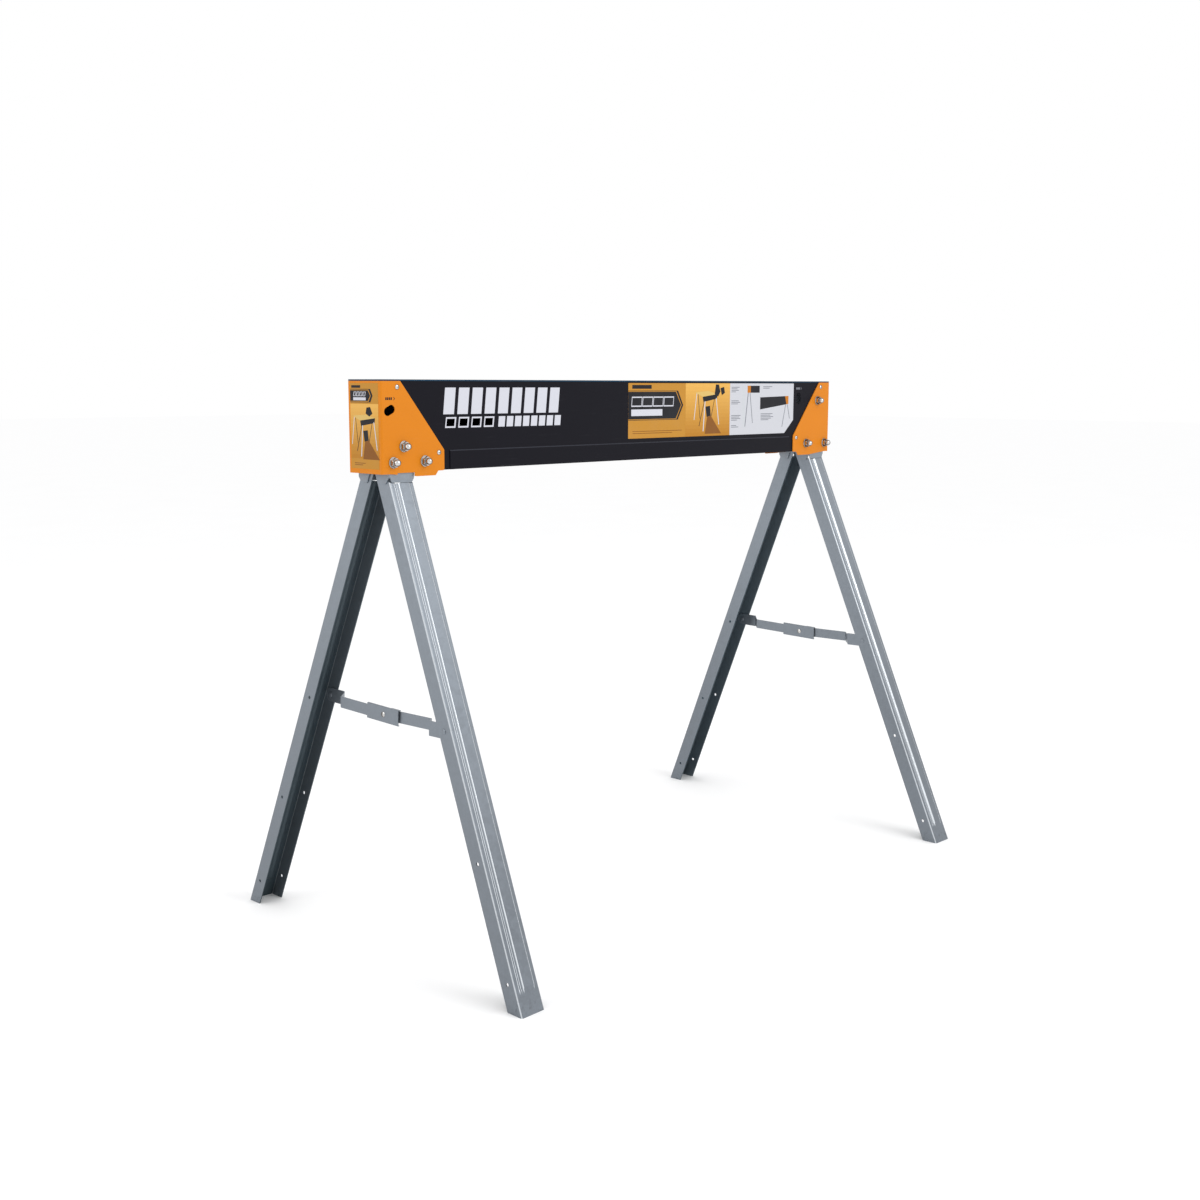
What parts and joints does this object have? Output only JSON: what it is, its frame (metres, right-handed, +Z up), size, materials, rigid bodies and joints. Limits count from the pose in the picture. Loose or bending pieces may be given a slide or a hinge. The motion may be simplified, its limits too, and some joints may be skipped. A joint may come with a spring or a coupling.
{
  "type": "folding sawhorse",
  "caption": "Steel sawhorse with a hollow beam on splayed channel legs; each pair closes, its brace folds up and it swings into the beam.",
  "frame": {"origin": "on the floor, below the middle of the beam", "axes": "+X along the beam, +Y across it towards the back, +Z up"},
  "size_m": [1.0492, 0.629, 0.813],
  "materials": {
    "beam_paint": "satin powder coat",
    "bracket_paint": "satin powder coat",
    "galvanised": "galvanised",
    "zinc": "bright zinc",
    "latch": "moulded",
    "label": "printed film"
  },
  "bodies": {
    "beam": {"beam_shell": "beam_paint", "left_end_bracket": "bracket_paint", "right_end_bracket": "bracket_paint", "end_bracket_rivets": "zinc", "fixing_studs": "zinc", "fixing_washers": "zinc", "fixing_dome_nuts": "zinc", "pivot_washers": "zinc", "pivot_dome_nuts": "zinc", "left_pivot_bolt": "zinc", "right_pivot_bolt": "zinc", "front_label": "label", "end_label": "label"},
    "left_sleeve": {"left_pivot_sleeve": "zinc"},
    "left_bracket": {"left_leg_bracket": "galvanised", "left_leg_hinge_pins": "zinc"},
    "left_latch": {"left_stow_latch": "latch"},
    "left_front_leg_body": {"left_front_leg": "galvanised", "left_front_brace_rivet": "zinc"},
    "left_back_leg_body": {"left_back_leg": "galvanised", "left_back_brace_rivet": "zinc"},
    "left_front_brace": {"left_front_brace_strip": "galvanised", "left_brace_centre_tail": "zinc"},
    "left_back_brace": {"left_back_brace_strip": "galvanised", "left_brace_channel": "galvanised", "left_brace_centre_rivet": "zinc"},
    "right_sleeve": {"right_pivot_sleeve": "zinc"},
    "right_bracket": {"right_leg_bracket": "galvanised", "right_leg_hinge_pins": "zinc"},
    "right_latch": {"right_stow_latch": "latch"},
    "right_front_leg_body": {"right_front_leg": "galvanised", "right_front_brace_rivet": "zinc"},
    "right_back_leg_body": {"right_back_leg": "galvanised", "right_back_brace_rivet": "zinc"},
    "right_front_brace": {"right_front_brace_strip": "galvanised", "right_brace_centre_tail": "zinc"},
    "right_back_brace": {"right_back_brace_strip": "galvanised", "right_brace_channel": "galvanised", "right_brace_centre_rivet": "zinc"}
  },
  "joints": [
    {"name": "left_seat", "type": "hinge", "parent": "beam", "child": "left_sleeve", "pos_m": [-0.4795, 0, 0.7226], "axis": [0, -1, 0], "range_deg": [0, 13.8]},
    {"name": "left_fold", "type": "hinge", "parent": "left_sleeve", "child": "left_bracket", "pos_m": [-0.4795, 0, 0.7226], "axis": [0, -1, 0], "range_deg": [0, 78]},
    {"name": "left_latch_press", "type": "slide", "parent": "left_bracket", "child": "left_latch", "axis": [0, 1, 0], "range_m": [0, 0.003], "stiffness_N_per_m": 400},
    {"name": "left_front_leg_hinge", "type": "hinge", "parent": "left_bracket", "child": "left_front_leg_body", "pos_m": [-0.48152, -0.0111, 0.69003], "axis": [0.9995, 0, -0.0314], "range_deg": [0, 22.6]},
    {"name": "left_front_brace_hinge", "type": "hinge", "parent": "left_front_leg_body", "child": "left_front_brace", "pos_m": [-0.49226, -0.15297, 0.34833], "axis": [0.9995, 0, -0.0314], "range_deg": [0, 64.59]},
    {"name": "left_back_leg_hinge", "type": "hinge", "parent": "left_bracket", "child": "left_back_leg_body", "pos_m": [-0.48152, 0.0111, 0.69003], "axis": [0.9995, 0, -0.0314], "range_deg": [-22.6, 0]},
    {"name": "left_back_brace_hinge", "type": "hinge", "parent": "left_back_leg_body", "child": "left_back_brace", "pos_m": [-0.49226, 0.15297, 0.34833], "axis": [0.9995, 0, -0.0314], "range_deg": [-64.59, 0]},
    {"name": "right_seat", "type": "hinge", "parent": "beam", "child": "right_sleeve", "pos_m": [0.4795, 0, 0.7785], "axis": [0, 1, 0], "range_deg": [0, 21]},
    {"name": "right_fold", "type": "hinge", "parent": "right_sleeve", "child": "right_bracket", "pos_m": [0.4795, 0, 0.7785], "axis": [0, 1, 0], "range_deg": [0, 70.8]},
    {"name": "right_latch_press", "type": "slide", "parent": "right_bracket", "child": "right_latch", "axis": [0, 1, 0], "range_m": [0, 0.003], "stiffness_N_per_m": 400},
    {"name": "right_front_leg_hinge", "type": "hinge", "parent": "right_bracket", "child": "right_front_leg_body", "pos_m": [0.48328, -0.0111, 0.69003], "axis": [0.9995, 0, 0.0314], "range_deg": [0, 22.6]},
    {"name": "right_front_brace_hinge", "type": "hinge", "parent": "right_front_leg_body", "child": "right_front_brace", "pos_m": [0.49402, -0.15297, 0.34833], "axis": [0.9995, 0, 0.0314], "range_deg": [0, 64.59]},
    {"name": "right_back_leg_hinge", "type": "hinge", "parent": "right_bracket", "child": "right_back_leg_body", "pos_m": [0.48328, 0.0111, 0.69003], "axis": [0.9995, 0, 0.0314], "range_deg": [-22.6, 0]},
    {"name": "right_back_brace_hinge", "type": "hinge", "parent": "right_back_leg_body", "child": "right_back_brace", "pos_m": [0.49402, 0.15297, 0.34833], "axis": [0.9995, 0, 0.0314], "range_deg": [-64.59, 0]}
  ],
  "couplings": [
    {"joint": "left_front_leg_hinge", "follows": "left_fold", "ratio": 0.28974},
    {"joint": "left_front_brace_hinge", "follows": "left_fold", "ratio": 0.82808},
    {"joint": "left_back_leg_hinge", "follows": "left_fold", "ratio": -0.28974},
    {"joint": "left_back_brace_hinge", "follows": "left_fold", "ratio": -0.82808},
    {"joint": "right_front_leg_hinge", "follows": "right_fold", "ratio": 0.31921},
    {"joint": "right_front_brace_hinge", "follows": "right_fold", "ratio": 0.91229},
    {"joint": "right_back_leg_hinge", "follows": "right_fold", "ratio": -0.31921},
    {"joint": "right_back_brace_hinge", "follows": "right_fold", "ratio": -0.91229}
  ]
}
